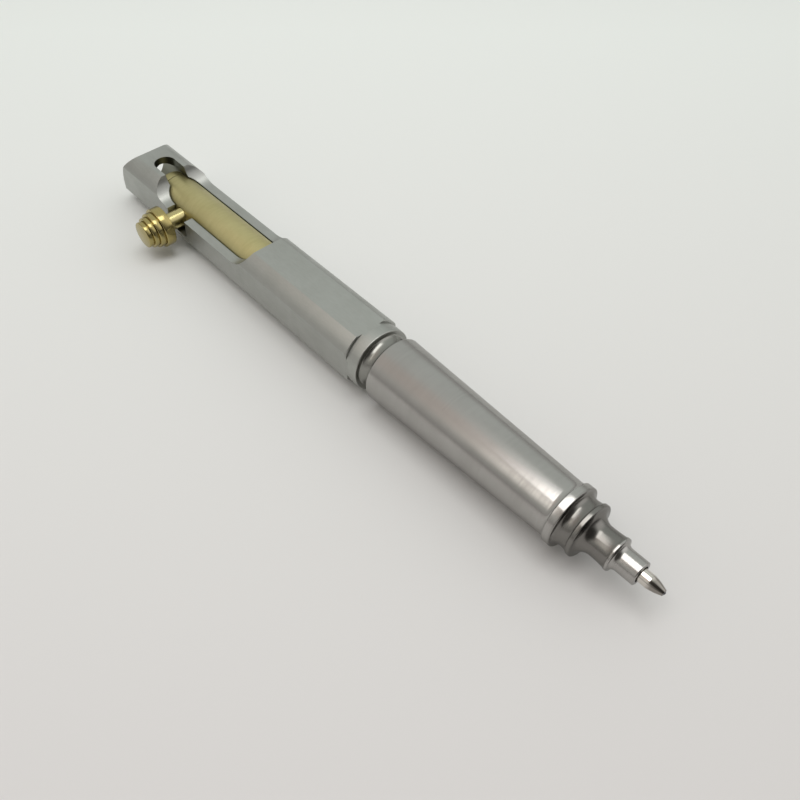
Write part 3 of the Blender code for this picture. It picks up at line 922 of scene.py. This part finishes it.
def make_handle():
    """The handle's stem and its stepped knob."""
    stem = handle_piece("handle_pin", [
        (PIN_START, 0),
        (PIN_START, PIN_RADIUS),
        (STEM_START, PIN_RADIUS),
        (STEM_START, STEM_RADIUS),
        (STEM_END, STEM_RADIUS),
        (STEM_END, PIN_RADIUS),
        (STUD_END, PIN_RADIUS),
        (STUD_END, 0),
    ], STEM_SIDES)
    dress(stem, STEM_BRASS, "bolt", "handle_stem")
    stud_hole = PIN_RADIUS + HANDLE_CLEARANCE
    stud_hole_end = STUD_END + HANDLE_CLEARANCE
    outline = [(KNOB_START, stud_hole)]
    rear, radius = KNOB_START, KNOB_RADIUS
    for width in KNOB_BAND_WIDTHS:
        front = rear + width
        outline += [(rear, radius - KNOB_CHAMFER), (rear + KNOB_CHAMFER, radius)]
        outline += [(front - KNOB_CHAMFER, radius), (front, radius - KNOB_CHAMFER)]
        rear, radius = front, radius - KNOB_STEP
    outline += [(front, 0), (stud_hole_end, 0), (stud_hole_end, stud_hole)]
    knob = handle_piece("handle_grip_knob", outline, KNOB_SIDES)
    dress(knob, KNOB_BRASS, "bolt", "handle_knob")


def make_point():
    """The refill's writing point and its ball."""
    point = turned_piece("writing_point", [
        (POINT_REAR, INK_CHANNEL),
        (POINT_REAR, SHANK_RADIUS),
        (SHANK_END, SHANK_RADIUS),
        (SHANK_END, POINT_RADIUS),
        (CONE_START, POINT_RADIUS),
        (CONE_MIDDLE, CONE_MIDDLE_RADIUS),
        (POINT_FRONT, POINT_FRONT_RADIUS),
        *arc((BALL_X, 0), BALL_SEAT, BALL_SEAT_ANGLE, 90, RIM_STEPS),
        (BALL_SEAT_END, BALL_SEAT),
        (INK_CHANNEL_END, INK_CHANNEL),
    ], POINT_SIDES, POINT_EDGE, POINT_SHADE_ANGLE)
    dress(point, POINT_NICKEL, "refill", "refill_point")
    ball_outline = arc((BALL_X, 0), BALL_RADIUS, 180, 0, BALL_STEPS)
    ball = turned_piece("point_ball", ball_outline, BALL_SIDES, edge=0.0)
    dress(ball, BALL_CARBIDE, "refill", "writing_ball")


def make_spring():
    """The return spring, a fixed coil of wire between the refill and its seat in the nose."""
    shape = bmesh.new()
    steps = STEPS_PER_TURN * SPRING_TURNS
    rise = SPRING_FRONT - SPRING_REAR - 2 * WIRE_RADIUS
    bmesh.ops.create_circle(shape, segments=WIRE_SIDES, radius=WIRE_RADIUS)
    move(shape, (SPRING_REAR + WIRE_RADIUS, SPRING_RADIUS, 0))
    bmesh.ops.spin(
        shape, geom=shape.verts[:] + shape.edges[:], cent=(0, 0, 0), axis=(1, 0, 0),
        dvec=(rise / steps, 0, 0), angle=2 * math.pi * SPRING_TURNS, steps=steps,
    )
    bmesh.ops.holes_fill(shape, edges=[edge for edge in shape.edges if edge.is_boundary])
    move(shape, PEN_START)
    spring = put("spring_coil", finish_mesh(shape, "spring_coil", SPRING_SHADE_ANGLE))
    coat(spring, SPRING_WIRE)
    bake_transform(spring)
    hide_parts("return_spring")


def dress_inner_nodes():
    """Finishes for the pieces inside the pen."""
    finishes = {
        "refill_tube": TUBE_METAL,
        "refill_nose": NOSE_BRASS,
        "refill_end_plug": PLUG_PLASTIC,
        "ink_column": INK_PASTE,
    }
    for name, material in finishes.items():
        coat(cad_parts[name], material)


# Table, light and camera

# The table changes from its far colour to a darker near one, painted shade towards the camera's side,
# between two places along a direction
TABLE_FAR = (0.915, 0.95, 0.93)
TABLE_NEAR_SHADED = (0.715, 0.69, 0.69)
NEAR_WAY = (0.74, -0.67, 0)
SHADE_START = -0.12
SHADE_END = 0.10

# The room: its walls, how soon one side gives way to the other, its shade near the
# horizon, how high that reaches, and what the camera sees behind the table
FAR_WALL = (0.71, 0.745, 0.715)
NEAR_WALL = (0.645, 0.64, 0.605)
WALL_BLEND = 0.6
HORIZON = (0.40, 0.385, 0.37)
HORIZON_HEIGHT = 0.4
BACKDROP = (0.78, 0.78, 0.77)

# Patches of the room: their direction, the cosines of the angles at which they start and
# are full, and their colour
WARM_CORNER = ((-0.30, -0.50, 0.81), 0.84, 0.97, (0.69, 0.625, 0.575))
BRIGHT_WINDOW = ((0.55, 0.60, 0.58), 0.80, 0.96, (1.15, 1.14, 1.12))
DARK_LOW = ((0.90, 0.42, 0.0), 0.88, 0.96, (0.10, 0.095, 0.09))
DARK_HIGH = ((0.50, -0.46, 0.735), 0.80, 0.93, (0.08, 0.075, 0.07))
DARK_FRONT = ((0.84, -0.39, 0.37), 0.62, 0.90, (0.07, 0.065, 0.06))

# The bright strip beside the lamp: its direction, how narrow it is along each axis, its
# colour, and the share of it that is full
BRIGHT_STRIP = ((-0.305, -0.68, 0.66), (17, 4.6, 0), (2.7, 2.62, 2.46))
STRIP_CORE = 0.6


def make_table():
    """A pale table top that the grip and the barrel's rear edge both touch."""
    shape = bmesh.new()
    bmesh.ops.create_circle(shape, cap_ends=True, segments=TABLE_SIDES, radius=TABLE_RADIUS)
    lean = math.atan2(GRIP_RADIUS - BARREL_FLAT, GRIP_TOUCH - REAR_TOUCH)
    turn(shape, lean, "Y")
    touch = PEN_START + Vector((GRIP_TOUCH, 0, -GRIP_RADIUS))
    move(shape, (0, 0, touch.z + math.tan(lean) * touch.x))
    mesh = bpy.data.meshes.new("table_top")
    shape.to_mesh(mesh)
    shape.free()
    table = put("table_top", mesh)
    material, tree, shader = new_material("pale_table")
    shader.inputs["Roughness"].default_value = 0.7
    shader.inputs["Specular IOR Level"].default_value = 0.2
    # Painted shade: the table darkens towards the camera's side
    across = vector_math(tree, "DOT_PRODUCT", surface_place(tree), NEAR_WAY)
    painted_table_shade = map_range(tree, across, 0, 1, SHADE_START, SHADE_END)
    tree.links.new(colour_mix(tree, painted_table_shade, TABLE_FAR, TABLE_NEAR_SHADED), shader.inputs["Base Color"])
    coat(table, material)


def room_patch(tree, behind, towards, start, full, colour):
    """The room's colour, with a soft round patch of another colour in one direction."""
    facing = vector_math(tree, "DOT_PRODUCT", room_direction(tree), towards)
    return colour_mix(tree, map_range(tree, facing, 0, 1, start, full), behind, colour)


def room_strip(tree, behind, towards, stretch, colour):
    """The room's colour, with a long soft strip of another colour about one direction."""
    offset = vector_math(tree, "SUBTRACT", room_direction(tree), towards)
    distance = vector_math(tree, "LENGTH", vector_math(tree, "MULTIPLY", offset, stretch))
    return colour_mix(tree, map_range(tree, distance, 1, 0, STRIP_CORE, 1), behind, colour)


def make_room():
    """A pale room with a bright window, dark in front of the tip, and plain behind the table."""
    world = bpy.context.scene.world or bpy.data.worlds.new("pale_room")
    bpy.context.scene.world = world
    world.use_nodes = True
    tree = world.node_tree
    axes = split_axes(tree, room_direction(tree))
    near_side = map_range(tree, axes["Y"], 1, 0, -WALL_BLEND, WALL_BLEND)
    room = colour_mix(tree, near_side, FAR_WALL, NEAR_WALL)
    low_down = map_range(tree, axes["Z"], 1, 0, 0, HORIZON_HEIGHT)
    room = colour_mix(tree, low_down, room, HORIZON)
    for patch in (WARM_CORNER, BRIGHT_WINDOW):
        room = room_patch(tree, room, *patch)
    room = room_strip(tree, room, *BRIGHT_STRIP)
    for patch in (DARK_LOW, DARK_HIGH, DARK_FRONT):
        room = room_patch(tree, room, *patch)
    rays = tree.nodes.new("ShaderNodeLightPath")
    seen = colour_mix(tree, rays.outputs["Is Camera Ray"], room, BACKDROP)
    tree.links.new(seen, tree.nodes["Background"].inputs["Color"])


def make_lamp():
    """A soft strip lamp overhead."""
    lamp = bpy.data.lights.new("overhead_lamp", "AREA")
    lamp.shape = "RECTANGLE"
    lamp.size = 0.20
    lamp.size_y = 0.46
    lamp.energy = 0.86
    lamp.color = (1.0, 0.99, 0.98)
    holder = bpy.data.objects.new("overhead_lamp", lamp)
    bpy.context.scene.collection.objects.link(holder)
    holder.location = (0.01, -0.07, 0.475)
    holder.rotation_euler = (0, 0, math.radians(-11))


def make_camera():
    """The photograph's view: from the handle's side of the tip, looking down along the pen."""
    data = bpy.data.cameras.new("table_camera")
    data.sensor_width = 36
    data.lens = 38.835
    data.clip_start = 0.01
    camera = bpy.data.objects.new("table_camera", data)
    bpy.context.scene.collection.objects.link(camera)
    right = Vector((0.66991, 0.74244, 0.0))
    up = Vector((-0.56656, 0.51121, 0.64628))
    back = Vector((0.47982, -0.43295, 0.76310))
    place = PEN_START + Vector((0.077489, -0.065714, 0.109302))
    facing = Matrix((right, up, back)).transposed().to_4x4()
    camera.matrix_world = Matrix.Translation(place) @ facing
    bpy.context.scene.camera = camera


make_barrel()
make_grip()
make_bolt()
make_handle()
make_point()
make_spring()
dress_inner_nodes()
make_table()
make_room()
make_lamp()
make_camera()
bpy.context.scene.view_settings.view_transform = "Standard"
